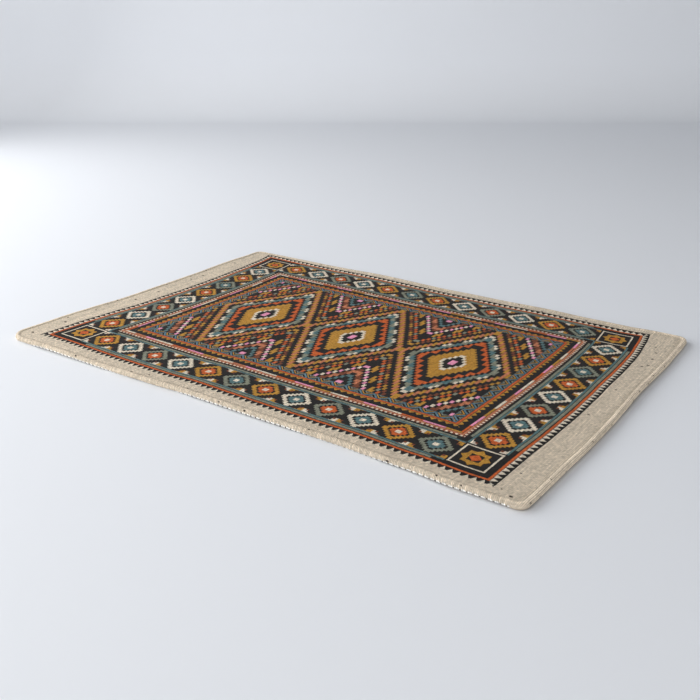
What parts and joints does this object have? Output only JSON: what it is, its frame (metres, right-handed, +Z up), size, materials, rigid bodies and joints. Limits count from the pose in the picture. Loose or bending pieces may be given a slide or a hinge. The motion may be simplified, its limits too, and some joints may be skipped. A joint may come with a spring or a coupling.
{
  "type": "rug",
  "caption": "Flat oblong woven mat of thick cloth, its four edges turned under and stitched into a rounded hem.",
  "frame": {"origin": "centre of the rug's box, on the floor that it lies on", "axes": "+X along the long sides, +Y across them towards the back, +Z up out of the printed face"},
  "size_m": [0.9056, 0.6166, 0.0099],
  "materials": {
    "woven_cloth": "matte ribbed weave with a dyed pattern"
  },
  "bodies": {
    "root": {"rug": "woven_cloth"}
  },
  "joints": []
}
